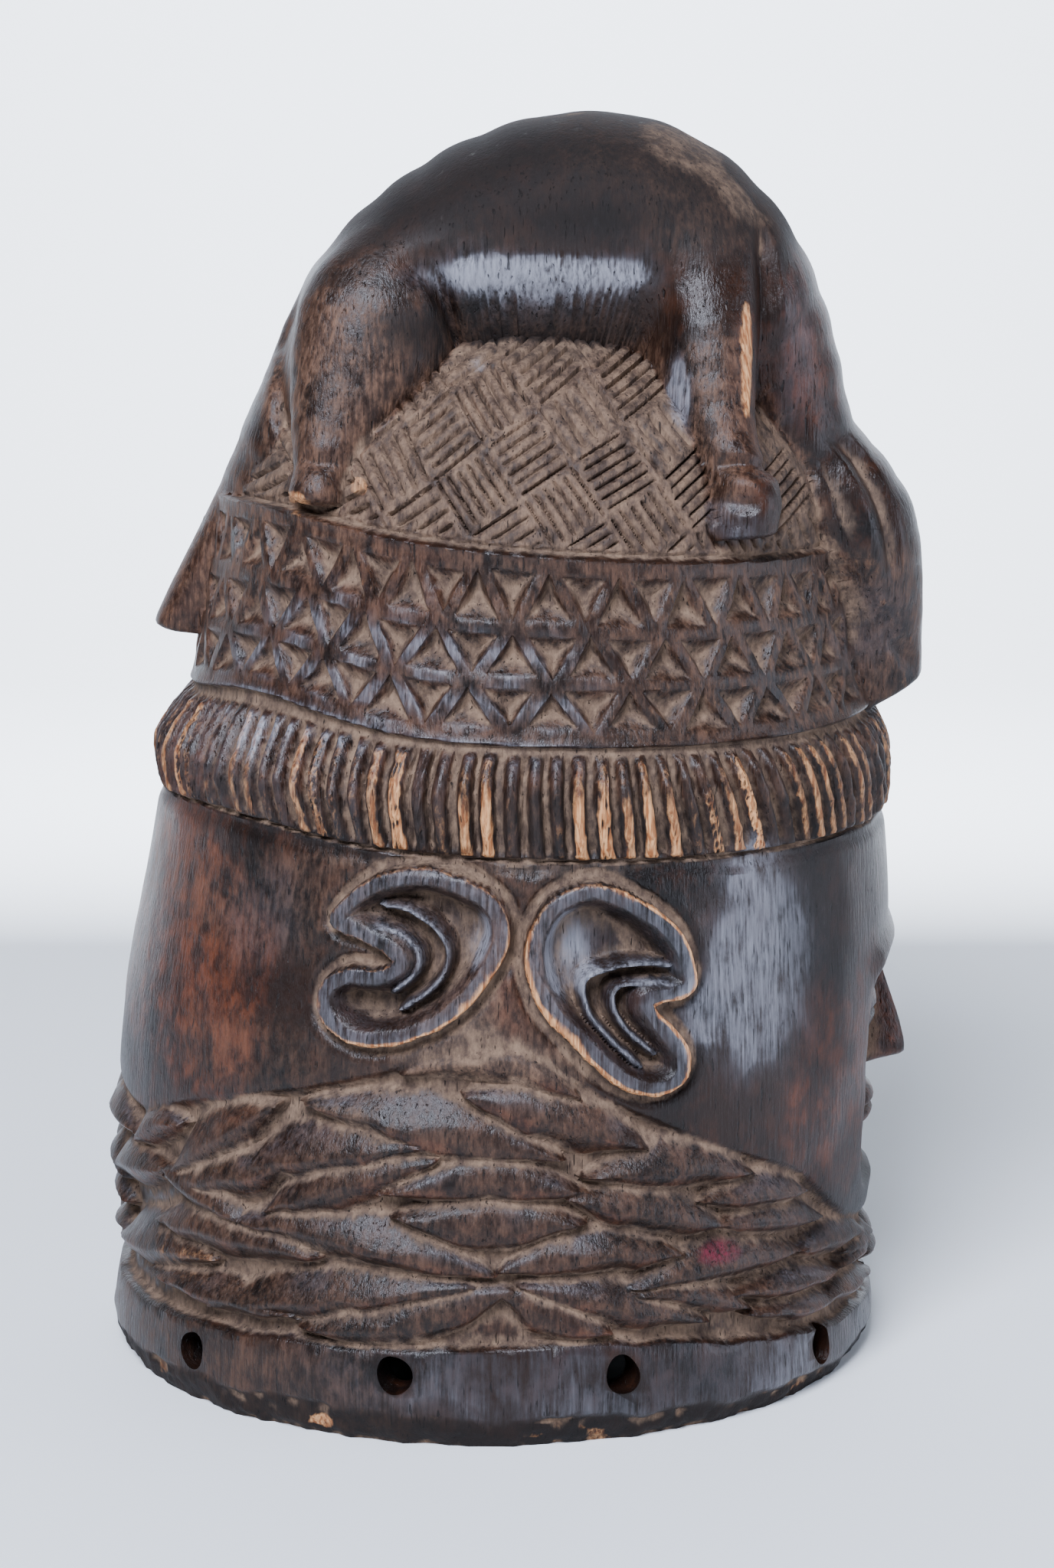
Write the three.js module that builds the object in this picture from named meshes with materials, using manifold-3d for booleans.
// A carved wooden helmet mask: one hollow block of dark wood that a dancer wore over the head.
// The face looks along +X, the back of the head is at -X, and both flanks are carved alike.
// Angles are degrees round the head: 0 is the middle of the flank at -Y, 90 the face, -90 the back.
import * as THREE from 'three';
import { SimplifyModifier } from 'three/addons/modifiers/SimplifyModifier.js';
import { mergeVertices } from 'three/addons/utils/BufferGeometryUtils.js';
import Module from 'manifold-3d';

const wasm = await Module();
wasm.setup();

// Driving dimensions in millimetres.
// The head's outline: height, then how far the back, the face side and the flanks stand out.
const headOutline = [
  [0, 122.5, 121, 114],
  [6, 126, 125, 117.5],
  [21, 124, 123, 118],
  [31, 122, 122, 117],
  [45, 120.5, 122, 116],
  [65, 122.5, 125, 116],
  [85, 122.5, 127, 116],
  [120, 119, 128, 114.5],
  [150, 113, 127, 112],
  [180, 107, 125, 110],
  [200, 106, 124, 112],
  [215, 97, 119, 107],
  [250, 91, 112, 102],
  [275, 87, 106, 98],
];
const wall = 12;
const rimTop = [
  [-90, 25],
  [-48, 26],
  [-25, 29],
  [-5, 31],
  [15, 31],
  [30, 28],
  [45, 23],
  [58, 19],
  [90, 17],
];
const rimHoles = [
  [-86, 16.5, 5.3],
  [-48.5, 17.5, 5.3],
  [-13.5, 23, 5.3],
  [19, 22, 5.3],
  [56.5, 14.5, 4.6],
  [93, 12.5, 5.3],
  [130, 14.5, 4.6],
  [163, 22, 5.3],
  [194, 22.5, 5.3],
  [230, 17.5, 5.3],
];

const leafBed = { sunk: 2.6, crown: 1.2, rootDepth: 4 };
const leafBedTop = [
  [-90, 93],
  [-65, 84],
  [-50, 95],
  [-30, 106],
  [0, 124],
  [20, 100],
  [37, 83],
  [48, 74],
  [62, 52],
  [75, 44],
  [90, 42],
];

// The edges of the carved bands dip toward the face and swing up behind the ears:
// height in the middle, rise along X, and the height of that swing.
const fringeFoot = { height: 181, slope: -0.03, swing: 4 };
const fringeHead = { height: 211.5, slope: -0.03, swing: 4 };
const bandFoot = { height: 214, slope: -0.03, swing: 7 };
const bandHead = { height: 270, slope: -0.08, swing: 3 };
const fringe = { ribs: 106, bed: 6, groove: 3.2 };
const pit = { rows: 3, pairs: 27, base: 15.5, height: 13.5, depth: 4.2 };

const dome = { middle: 12, length: 95, width: 96, base: 268, height: 70 };
const weave = { pitch: 17, turn: 33, strokes: 3, length: 15, width: 3.7, depth: 2.4 };

const around = 48;
const keptCorners = 4990;

const degrees = THREE.MathUtils.degToRad;
const { sin, cos, sqrt, abs, min, max, round, PI, exp } = Math;

// Value columns of a table at a key that lies between its rows.
function between(table, key) {
  const last = table.length - 1;
  const at = table.findIndex((row) => row[0] >= key);
  if (at === 0) return table[0].slice(1);
  if (at < 0) return table[last].slice(1);
  const [low, high] = [table[at - 1], table[at]];
  const part = (key - low[0]) / (high[0] - low[0]);
  return low.slice(1).map((value, i) => value + (high[i + 1] - value) * part);
}

// Rises smoothly from 0 to 1 as a value goes from one limit to the other.
function ease(value, from, to) {
  const part = min(max((value - from) / (to - from), 0), 1);
  return part * part * (3 - 2 * part);
}

// The angle of the same place on the near flank: the far flank mirrors it.
function folded(angle) {
  const turned = ((angle + 540) % 360) - 180;
  if (abs(turned) <= 90) return turned;
  return turned > 0 ? 180 - turned : -180 - turned;
}

// A point of the head's surface, standing proud of its outline by so much.
function onHead(angle, height, proud = 0) {
  const [back, front, side] = between(headOutline, height);
  const halfLength = (front + back) / 2 + proud;
  const middle = (front - back) / 2;
  const turn = degrees(angle);
  return new THREE.Vector3(middle + halfLength * sin(turn), -(side + proud) * cos(turn), height);
}

// The dome above the cap's band: upright below its base, an ellipsoid above it.
function onDome(angle, height, proud = 0) {
  const up = max(height - dome.base, 0) / dome.height;
  const shrink = sqrt(max(1 - up * up, 0));
  const turn = degrees(angle);
  const length = (dome.length + proud) * shrink;
  return new THREE.Vector3(dome.middle + length * sin(turn), -(dome.width + proud) * shrink * cos(turn), height);
}

// The dome's flank seen from the side: the point at a place along and a height.
function onFlank(x, height, proud = 0) {
  const up = max(height - dome.base, 0) / dome.height;
  const along = (x - dome.middle) / dome.length;
  const across = sqrt(max(1 - up * up - along * along, 0));
  const outward = new THREE.Vector3(along / dome.length, -across / dome.width, up / dome.height).normalize();
  return new THREE.Vector3(x, -dome.width * across, height).addScaledVector(outward, proud);
}

// A point of the head's surface on the edge of a band.
function onEdge(angle, edge, proud = 0) {
  const swing = edge.swing * exp(-(((folded(angle) + 50) / 22) ** 2));
  return onHead(angle, edge.height + edge.slope * onHead(angle, edge.height).x + swing, proud);
}

// A solid from a closed geometry: its doubled corners are joined and its faces turned outward.
function solid(geometry) {
  geometry.deleteAttribute('normal');
  geometry.deleteAttribute('uv');
  const joined = mergeVertices(geometry);
  const points = joined.getAttribute('position');
  const faces = [];
  let volume = 0;
  for (let i = 0; i < joined.index.count; i += 3) {
    const corners = [0, 1, 2].map((n) => joined.index.getX(i + n));
    if (new Set(corners).size < 3) continue;
    const [a, b, c] = corners.map((corner) => new THREE.Vector3().fromBufferAttribute(points, corner));
    volume += a.dot(b.cross(c));
    faces.push(corners);
  }
  const triVerts = new Uint32Array(faces.flatMap((face) => (volume < 0 ? face.reverse() : face)));
  const vertProperties = new Float32Array(points.array);
  return new wasm.Manifold(new wasm.Mesh({ numProp: 3, vertProperties, triVerts }));
}

// A closed geometry whose corners are moved to the places that its own uv gives.
function shaped(geometry, place) {
  const points = geometry.getAttribute('position');
  const uv = geometry.getAttribute('uv');
  for (let i = 0; i < points.count; i += 1) {
    const { x, y, z } = place(uv.getX(i), uv.getY(i));
    points.setXYZ(i, x, y, z);
  }
  return solid(geometry);
}

// A skin of rings between two end points, numbered upward from 0 to last: a sphere's grid, bent to shape.
function skin(columns, last, place) {
  const column = (u) => (round(u * columns) + columns) % columns;
  return shaped(new THREE.SphereGeometry(1, columns, last), (u, v) => place(column(u), round(v * last)));
}

// A rounded bar through stations: [x, y, z of the middle, half thickness, half width, lean in degrees].
// The thickness lies in the XZ plane along the lean, and the width along Y. A lower squareness is boxier.
function bar(stations, columns, squareness) {
  const path = new THREE.CatmullRomCurve3(stations.map(([x, y, z]) => new THREE.Vector3(x, y, z)));
  const size = new THREE.CatmullRomCurve3(stations.map(([, , , ...sizes]) => new THREE.Vector3(...sizes)));
  const last = 2 * (stations.length - 1);
  return skin(columns, last, (column, ring) => {
    const middle = path.getPoint(ring / last);
    const { x: thick, y: wide, z: lean } = size.getPoint(ring / last);
    const turn = (column / columns) * 2 * PI;
    const isEnd = ring === 0 || ring === last;
    const out = isEnd ? 0 : Math.sign(cos(turn)) * abs(cos(turn)) ** squareness * thick;
    const across = isEnd ? 0 : Math.sign(sin(turn)) * abs(sin(turn)) ** squareness * wide;
    return middle.add(new THREE.Vector3(out * cos(degrees(lean)), across, out * sin(degrees(lean))));
  });
}

const mirrored = (part) => part.add(part.mirror([0, 1, 0]));
const joinAll = (parts) => parts.reduce((whole, part) => whole.add(part));
const cutAll = (whole, cutters) => cutters.reduce((rest, cutter) => rest.subtract(cutter), whole);

// The block itself: rim band, leaf bed, smooth head, cap and dome in one skin.
function block() {
  const bedTop = (angle) => between(leafBedTop, folded(angle))[0];
  const bedFoot = (angle) => between(rimTop, folded(angle))[0];
  const lowered = (edge, drop) => ({ ...edge, height: edge.height - drop });
  const levels = [
    (angle) => onHead(angle, 0),
    (angle) => onHead(angle, 6),
    (angle) => onHead(angle, bedFoot(angle) - 1),
    (angle) => onHead(angle, bedFoot(angle) + 1, -leafBed.sunk - 0.4),
    (angle) => onHead(angle, (bedFoot(angle) + 5 + bedTop(angle)) / 2, -leafBed.sunk),
    (angle) => onHead(angle, bedTop(angle), -leafBed.sunk),
    (angle) => onHead(angle, bedTop(angle) + 3),
    (angle) => onHead(angle, 150),
    (angle) => onEdge(angle, lowered(fringeFoot, 2), -0.5),
    (angle) => onEdge(angle, lowered(fringeFoot, 1), -fringe.bed),
    (angle) => onEdge(angle, lowered(bandFoot, 1), -fringe.bed),
    (angle) => onEdge(angle, bandFoot),
    (angle) => onEdge(angle, bandHead).lerp(onEdge(angle, bandFoot), 0.5),
    (angle) => onEdge(angle, bandHead),
  ];
  const domeLevels = 8;
  const last = levels.length + domeLevels + 1;
  return skin(around, last, (column, level) => {
    if (level === 0) return new THREE.Vector3(0, 0, 0);
    const angle = (column / around) * 360;
    if (level <= levels.length) return levels[level - 1](angle);
    const foot = onEdge(angle, bandHead).z + 1;
    const climb = sin(degrees((90 * (level - levels.length - 1)) / domeLevels));
    return onDome(angle, foot + (dome.base + dome.height - foot) * climb);
  });
}

// The hollow inside, a wall's thickness in from the outline, under a domed ceiling.
function hollow() {
  const levels = [[-2, 8], [8, 12], [45, 12], [120, 13], [180, 17], [208, 26], [224, 44]];
  const ceiling = 232;
  const columns = 28;
  const last = levels.length + 1;
  return skin(columns, last, (column, level) => {
    if (level === 0) return new THREE.Vector3(0, 0, -2);
    if (level === last) return new THREE.Vector3(8, 0, ceiling);
    const [height, inset] = levels[level - 1];
    const place = onHead((column / columns) * 360, max(height, 0), -inset);
    return place.setZ(height);
  });
}

// The holes round the rim, which held a collar of raffia: [angle, height, radius].
function rimDrills() {
  return rimHoles.map(([angle, height, radius]) => {
    const drill = new THREE.CylinderGeometry(radius, radius, 4 * wall, 12);
    drill.rotateZ(degrees(angle));
    const place = onHead(angle, height, -wall / 2);
    drill.translate(place.x, place.y, place.z);
    return solid(drill);
  });
}

// One pointed leaf on the leaf bed: [angle and height of both tips, width, how far it arches up].
function leaf([fromAngle, fromHeight, toAngle, toHeight, width, arch]) {
  const { sunk, crown, rootDepth } = leafBed;
  const rings = 5;
  const arc = degrees(1) * onHead(fromAngle, fromHeight).setZ(0).length();
  const along = new THREE.Vector2((toAngle - fromAngle) * arc, toHeight - fromHeight).normalize();
  const section = [[-0.65, -sunk - 1], [-0.3, crown], [0.3, crown], [0.65, -sunk - 1], [0, -sunk - rootDepth]];
  return skin(section.length, rings, (column, ring) => {
    const part = ring / rings;
    const swell = sin(PI * part) ** 0.7;
    const [across, proud] = section[column];
    const isTip = ring === 0 || ring === rings;
    const sideways = isTip ? 0 : across * swell * width;
    const angle = fromAngle + (toAngle - fromAngle) * part - (along.y * sideways) / arc;
    const height = fromHeight + (toHeight - fromHeight) * part + arch * sin(PI * part) + along.x * sideways;
    return onHead(angle, height, isTip ? -sunk - 1 : proud);
  });
}

// The leaves of one flank, read from the middle outward, with those that cross the back and the chin.
const leaves = [
  [-14, 115, 10, 108, 14, 11],
  [-28, 105, 8, 91, 11, 0],
  [-5, 110, 20, 93, 12, 0],
  [-38, 82, -18, 96, 12, 0],
  [-34, 69, -9, 91, 11, 0],
  [-16, 79, 12, 79, 9, 4],
  [-14, 72, 12, 71, 9, -3],
  [-40, 64, -1, 55, 11, 2],
  [-45, 34, -4, 51, 9, 0],
  [-26, 37, 0, 49, 8, -5],
  [1, 49, 17, 36, 8, -3],
  [1, 56, 27, 57, 9, 3],
  [4, 51, 32, 35, 9, 0],
  [20, 47, 38, 36, 7, 2],
  [12, 84, 38, 79, 10, 3],
  [10, 78, 34, 64, 9, 0],
  [20, 49, 50, 49, 10, 2],
  [30, 73, 50, 68, 7, 1],
  [32, 65, 55, 57, 7, 1],
  [36, 41, 62, 36, 6, 0],
  [42, 33, 62, 27, 6, 0],
  [50, 49, 75, 41, 8, 1],
  [-66, 76, -52, 89, 8, 2],
  [-54, 72, -33, 102, 10, 0],
  [-56, 70, -28, 88, 9, -4],
  [-55, 70, -40, 64, 8, 0],
  [-80, 58, -58, 70, 8, 2],
  [-60, 53, -26, 56, 9, 2],
  [-79, 38, -48, 47, 9, 0],
];
const crossingLeaves = [
  [-112, 80, -68, 80, 11, 6],
  [-102, 66, -78, 66, 9, 3],
  [-102, 50, -78, 50, 10, 2],
  [-100, 38, -80, 38, 7, 0],
  [74, 38, 106, 38, 6, 0],
];

// The ring of ribs round the brow: every second column of the ring is a groove.
function browFringe() {
  const inner = -11;
  const section = [[1, inner], [0, inner], [0, -0.5], [0.3, 2], [0.65, 2], [1, -1.5]];
  const columns = 2 * fringe.ribs;
  const ring = new THREE.TorusGeometry(1, 1, section.length, columns);
  return shaped(ring, (u, v) => {
    const [up, proud] = section[round(v * section.length) % section.length];
    const isGroove = round(u * columns) % 2 === 1 && proud > inner;
    const height = fringeFoot.height + up * (fringeHead.height - fringeFoot.height);
    return onEdge(u * 360, { ...fringeFoot, height }, isGroove ? proud - fringe.groove : proud);
  });
}

// The cap's band of chip-carved triangles: three rows of pits, points up and down by turns.
function bandPits() {
  const pits = [];
  const frame = 3;
  for (let row = 0; row < pit.rows; row += 1) {
    for (let i = 0; i < 2 * pit.pairs; i += 1) {
      const angle = ((i + row / 2) * 180) / pit.pairs + 3.5;
      if (abs(abs(folded(angle)) - 90) < 10) continue;
      const foot = onEdge(angle, bandFoot).z + frame / 2;
      const head = onEdge(angle, bandHead).z - frame / 2;
      const middle = foot + ((head - foot) * (row + 0.5)) / pit.rows;
      pits.push(trianglePit(angle, middle, i % 2 === 0 ? 1 : -1));
    }
  }
  return pits;
}

// One pit: a three-sided chip cut, deepest under the middle of its triangle. The cutter starts
// proud of the wood, where it is wider, so that the triangle has its full size on the surface.
function trianglePit(angle, middle, pointing) {
  const proud = 1.5;
  const widening = (pit.depth + proud) / pit.depth;
  const width = (widening * pit.base) / (degrees(1) * onHead(angle, middle).setZ(0).length());
  const height = widening * pit.height * pointing;
  const corners = [[0, 2 / 3], [-0.5, -1 / 3], [0.5, -1 / 3]];
  const centre = middle - (pit.height * pointing) / 6;
  return skin(3, 2, (corner, ring) => {
    if (ring === 0) return onHead(angle, centre, proud);
    if (ring === 2) return onHead(angle, centre, -pit.depth);
    const [across, up] = corners[corner];
    return onHead(angle + across * width, centre + up * height, proud);
  });
}

// The basket weave on the dome's flank, between the animal's legs.
const weaveArea = [
  [274, -44, 58],
  [285, -38, 59],
  [300, -30, 56],
  [312, -20, 53],
  [329, -6, 44],
];
function weaveStrokes() {
  const strokes = [];
  const turn = degrees(weave.turn);
  const along = new THREE.Vector2(cos(turn), sin(turn));
  const up = new THREE.Vector2(-sin(turn), cos(turn));
  const start = new THREE.Vector2(10, 297);
  for (let column = -6; column <= 6; column += 1) {
    for (let row = -6; row <= 6; row += 1) {
      const lie = (column + row) % 2 === 0 ? along : up;
      const step = (column + row) % 2 === 0 ? up : along;
      for (let i = 0; i < weave.strokes; i += 1) {
        const offset = ((i - (weave.strokes - 1) / 2) * weave.pitch) / weave.strokes;
        const middle = start.clone().addScaledVector(along, column * weave.pitch);
        middle.addScaledVector(up, row * weave.pitch).addScaledVector(step, offset);
        const [left, right] = between(weaveArea, middle.y);
        const inside = middle.x > left && middle.x < right && middle.y > 275 && middle.y < 328;
        if (inside) strokes.push(stroke(middle, lie));
      }
    }
  }
  return strokes;
}

// A V-shaped cut with pointed ends, in the plane of the flank.
function stroke(middle, lie) {
  const across = new THREE.Vector2(-lie.y, lie.x);
  const section = [[-0.75, 1], [0.75, 1], [0, -weave.depth]];
  return skin(3, 3, (corner, ring) => {
    const isTip = ring === 0 || ring === 3;
    const place = middle.clone().addScaledVector(lie, (isTip ? 0.5 : 0.36) * weave.length * (ring < 2 ? -1 : 1));
    if (isTip) return onFlank(place.x, place.y, 0.6);
    const [sideways, proud] = section[corner];
    place.addScaledVector(across, sideways * weave.width);
    return onFlank(place.x, place.y, proud);
  });
}

// The animal on the cap, standing over it with its head bent down over the brow.
// Stations give the middle, half thickness, half width and lean of each ring.
const trunk = [
  [-70, 0, 262, 0, 0, 170],
  [-68, 0, 280, 14.5, 34, 170],
  [-50, 0, 306, 20.5, 47, 150],
  [-36, 0, 333, 24.5, 54, 128],
  [-13, 0, 350, 29.5, 57, 104],
  [16, 0, 358, 35, 58, 92],
  [42, 0, 357, 36, 57, 80],
  [63, 0, 344, 33.5, 53, 58],
  [78, 0, 324, 28, 46, 27],
  [87, 0, 300, 22.5, 38, 6],
  [91, 0, 284, 19, 35, 0],
  [92, 0, 268, 14, 32, 0],
  [92, 0, 262, 0, 0, 0],
];
const tail = [
  [-66, 0, 310, 0, 0, 165],
  [-70, 0, 300, 6, 22, 165],
  [-76, 0, 284, 10, 20, 165],
  [-81, 0, 270, 10, 18, 165],
  [-90, 0, 250, 9, 16, 165],
  [-98, 0, 234, 7.5, 15, 178],
  [-98, 0, 232, 6.5, 14, 180],
  [-98, 0, 232, 0, 0, 180],
];
const muzzle = [
  [90, 0, 306, 0, 0, 0],
  [97, 0, 293, 14.5, 26, 0],
  [104, 0, 281, 20.5, 31, 0],
  [111, 0, 265, 23, 32, 0],
  [115, 0, 248, 22, 28, 0],
  [117, 0, 230, 20, 22, 0],
  [119, 0, 218, 18, 18, 0],
  [121, 0, 211, 15, 14, 0],
  [121, 0, 211, 0, 0, 0],
];
const hindLeg = [
  [-36, -34, 356, 0, 0, 0],
  [-37, -40, 348, 15, 13, 0],
  [-39, -45, 332, 21, 16, 0],
  [-42, -48, 314, 20, 14, 0],
  [-47, -58, 300, 13, 12, 0],
  [-50, -64, 290, 8, 10, 0],
  [-51, -69, 283, 9, 9.5, 0],
  [-51, -69, 281, 0, 0, 0],
];
const frontLeg = [
  [64, -32, 358, 0, 0, 0],
  [65, -38, 348, 14, 13, 0],
  [66, -44, 331, 15.5, 13.5, 0],
  [67, -49, 313, 13.5, 13, 0],
  [70, -62, 297, 10.5, 12, 0],
  [73, -68, 288, 9.5, 11, 0],
  [74, -73, 280, 10.5, 10, 0],
  [74, -74, 273, 9, 8.5, 0],
  [74, -74, 272, 0, 0, 0],
];
// A long leaf-shaped ear on each side of the animal's head.
const animalEar = [
  [98, -25, 296, 0, 0, 0],
  [103, -28, 286, 6, 6, 10],
  [109, -28, 272, 9, 7, 15],
  [115, -26, 258, 9, 6, 20],
  [120, -22, 247, 4, 4, 20],
  [121, -21, 245, 0, 0, 20],
];

function animal() {
  const limbs = [hindLeg, frontLeg, animalEar].map((stations) => mirrored(bar(stations, 10, 0.9)));
  return joinAll([bar(trunk, 20, 0.7), bar(tail, 10, 0.7), bar(muzzle, 16, 0.8), ...limbs]);
}

// The two ears carved on each flank: a raised rim round a sunk bowl, and a curled ridge inside.
const backEar = {
  rim: [[-26, 163], [-19, 175], [-11, 177], [-3, 168], [-2, 155], [-6, 142], [-13, 129], [-21, 126], [-27, 135], [-25, 143], [-18, 149], [-24, 156]],
  bowl: [[-23.5, 163], [-18.5, 171.5], [-11.5, 173], [-6, 166], [-5, 155], [-9, 143], [-15, 133], [-21, 130], [-23.5, 136], [-20, 142], [-13, 146], [-13, 153], [-19, 160]],
  ridge: [[-21, 165], [-15, 164], [-11, 157], [-9, 150], [-12, 141], [-17, 136], [-14, 144], [-12.5, 151], [-15, 158]],
};
const frontEar = {
  rim: [[25, 143], [24, 152], [20, 162], [14, 170], [8, 168], [3, 158], [3, 142], [8, 128], [14, 116], [20, 111], [25, 118], [23, 129], [19, 139]],
  bowl: [[21.5, 146], [20.5, 153], [17, 161], [12.5, 166], [8.5, 163], [6, 155], [6, 143], [10.5, 130], [15.5, 120], [20, 115], [22, 120], [19.5, 129], [15, 138.5]],
  ridge: [[24, 145], [16.5, 148], [10.5, 145], [13, 136], [16, 128], [20, 121], [18.5, 128], [15.5, 135], [13.5, 143], [17, 145]],
};

// A plate with a rounded outline of [angle, height] points, following the head's surface.
function plate(outline, from, to, steps) {
  const corners = outline.map(([angle, height]) => new THREE.Vector3(angle, height, 0));
  const curve = new THREE.CatmullRomCurve3(corners, true);
  const shape = new THREE.Shape(curve.getPoints(steps).slice(0, steps).map(({ x, y }) => new THREE.Vector2(x, y)));
  const slab = new THREE.ExtrudeGeometry(shape, { depth: 1, steps: 1, bevelEnabled: false });
  const points = slab.getAttribute('position');
  for (let i = 0; i < points.count; i += 1) {
    const place = onHead(points.getX(i), points.getY(i), from + (to - from) * points.getZ(i));
    points.setXYZ(i, place.x, place.y, place.z);
  }
  return solid(slab);
}

function ear({ rim, bowl, ridge }) {
  return {
    added: plate(rim, -5, 4.2, 24),
    cut: plate(bowl, -0.5, 8, 22),
    inside: plate(ridge, -5, 2.6, 16),
  };
}

// The face's relief: how far each place stands out along X. It is calm, with slit eyes,
// a straight nose and a small mouth, in a plane sunk below the brow.
const face = { middle: 97, halfWidth: 47, halfHeight: 45, roundTop: 0.25, roundJaw: 0.5 };
function faceDepth(y, height) {
  const [back, front, side] = between(headOutline, height);
  const middle = (front - back) / 2;
  const surface = middle + ((front + back) / 2) * sqrt(1 - (y / side) ** 2);
  const fromMiddle = abs(y);
  const plane = ease(fromMiddle, 44, 36) * ease(height, 134 - fromMiddle * 0.12, 128 - fromMiddle * 0.12);
  const border = 1.5;
  const sunk = 7 * plane * ease(height, 52, 66);
  const brow = 2 * exp(-(((height - 135 + fromMiddle * 0.12) / 5) ** 2)) * ease(fromMiddle, 44, 34);
  const noseWidth = 5 + 6 * ease(height, 120, 96);
  const noseHeight = (5 + 9 * ease(height, 128, 96)) * ease(height, 89, 93) * ease(height, 136, 126);
  const nose = noseHeight * ease(fromMiddle, noseWidth, noseWidth * 0.45);
  const eyeSpan = 1 - ((fromMiddle - 22) / 15) ** 2 - ((height - 113) / 8.5) ** 2;
  const eye = 5 * sqrt(max(eyeSpan, 0)) - 2 * ease(abs(height - 112), 1.8, 0.6) * ease(eyeSpan, 0.1, 0.4);
  const lipSpan = 1 - (y / 19) ** 2 - ((height - 76) / 7.5) ** 2;
  const lips = 6 * sqrt(max(lipSpan, 0)) - 2.5 * ease(abs(height - 76), 1.8, 0.6) * ease(lipSpan, 0.1, 0.4);
  const chin = 4 * exp(-((y / 16) ** 2) - (((height - 60) / 8) ** 2));
  return surface - border - sunk + brow + max(nose, 0) + max(eye, 0) + lips + chin;
}
function facePlate(scale, back, depth) {
  const columns = 22;
  const rows = 30;
  const slab = new THREE.BoxGeometry(1, 1, 1, 1, columns, rows);
  const points = slab.getAttribute('position');
  for (let i = 0; i < points.count; i += 1) {
    const across = 2 * points.getY(i);
    const up = 2 * points.getZ(i);
    const rounding = up > 0 ? face.roundTop : face.roundJaw;
    const y = scale * face.halfWidth * across * sqrt(1 - rounding * up * up);
    const height = face.middle + scale * face.halfHeight * up * sqrt(1 - rounding * across * across);
    points.setXYZ(i, points.getX(i) > 0 ? depth(y, height) : back, y, height);
  }
  return solid(slab);
}

let mask = cutAll(block(), [...bandPits(), ...weaveStrokes().map(mirrored)]);
mask = joinAll([mask, browFringe(), animal()]);
mask = mask.subtract(facePlate(1, 110, () => 150)).add(facePlate(1.02, 105, faceDepth));
mask = joinAll([mask, ...leaves.map((row) => mirrored(leaf(row))), ...crossingLeaves.map(leaf)]);
[backEar, frontEar].map(ear).forEach(({ added, cut, inside }) => {
  mask = mask.add(mirrored(added)).subtract(mirrored(cut)).add(mirrored(inside));
});
mask = cutAll(mask.subtract(hollow()), rimDrills());

// The joined surface, with the corners that the cuts left in flat places drawn out again.
const surface = mask.getMesh();
const joined = new THREE.BufferGeometry();
joined.setAttribute('position', new THREE.BufferAttribute(surface.vertProperties, 3));
joined.setIndex(new THREE.BufferAttribute(surface.triVerts, 1));
const spareCorners = joined.getAttribute('position').count - keptCorners;
const geometry = await new SimplifyModifier().modify(joined, spareCorners);

// The frame's origin lies under the middle of the whole outline, on the plane that the rim stands on.
geometry.computeBoundingBox();
const { min: low, max: high } = geometry.boundingBox;
geometry.translate(-(low.x + high.x) / 2, -(low.y + high.y) / 2, -low.z);
geometry.computeVertexNormals();

const wood = new THREE.MeshStandardMaterial({ color: 0x33241c, roughness: 0.45, metalness: 0, flatShading: true });
const helmetMask = new THREE.Mesh(geometry, wood);
helmetMask.name = 'helmet_mask';

const group = new THREE.Group();
group.add(helmetMask);

export default group;
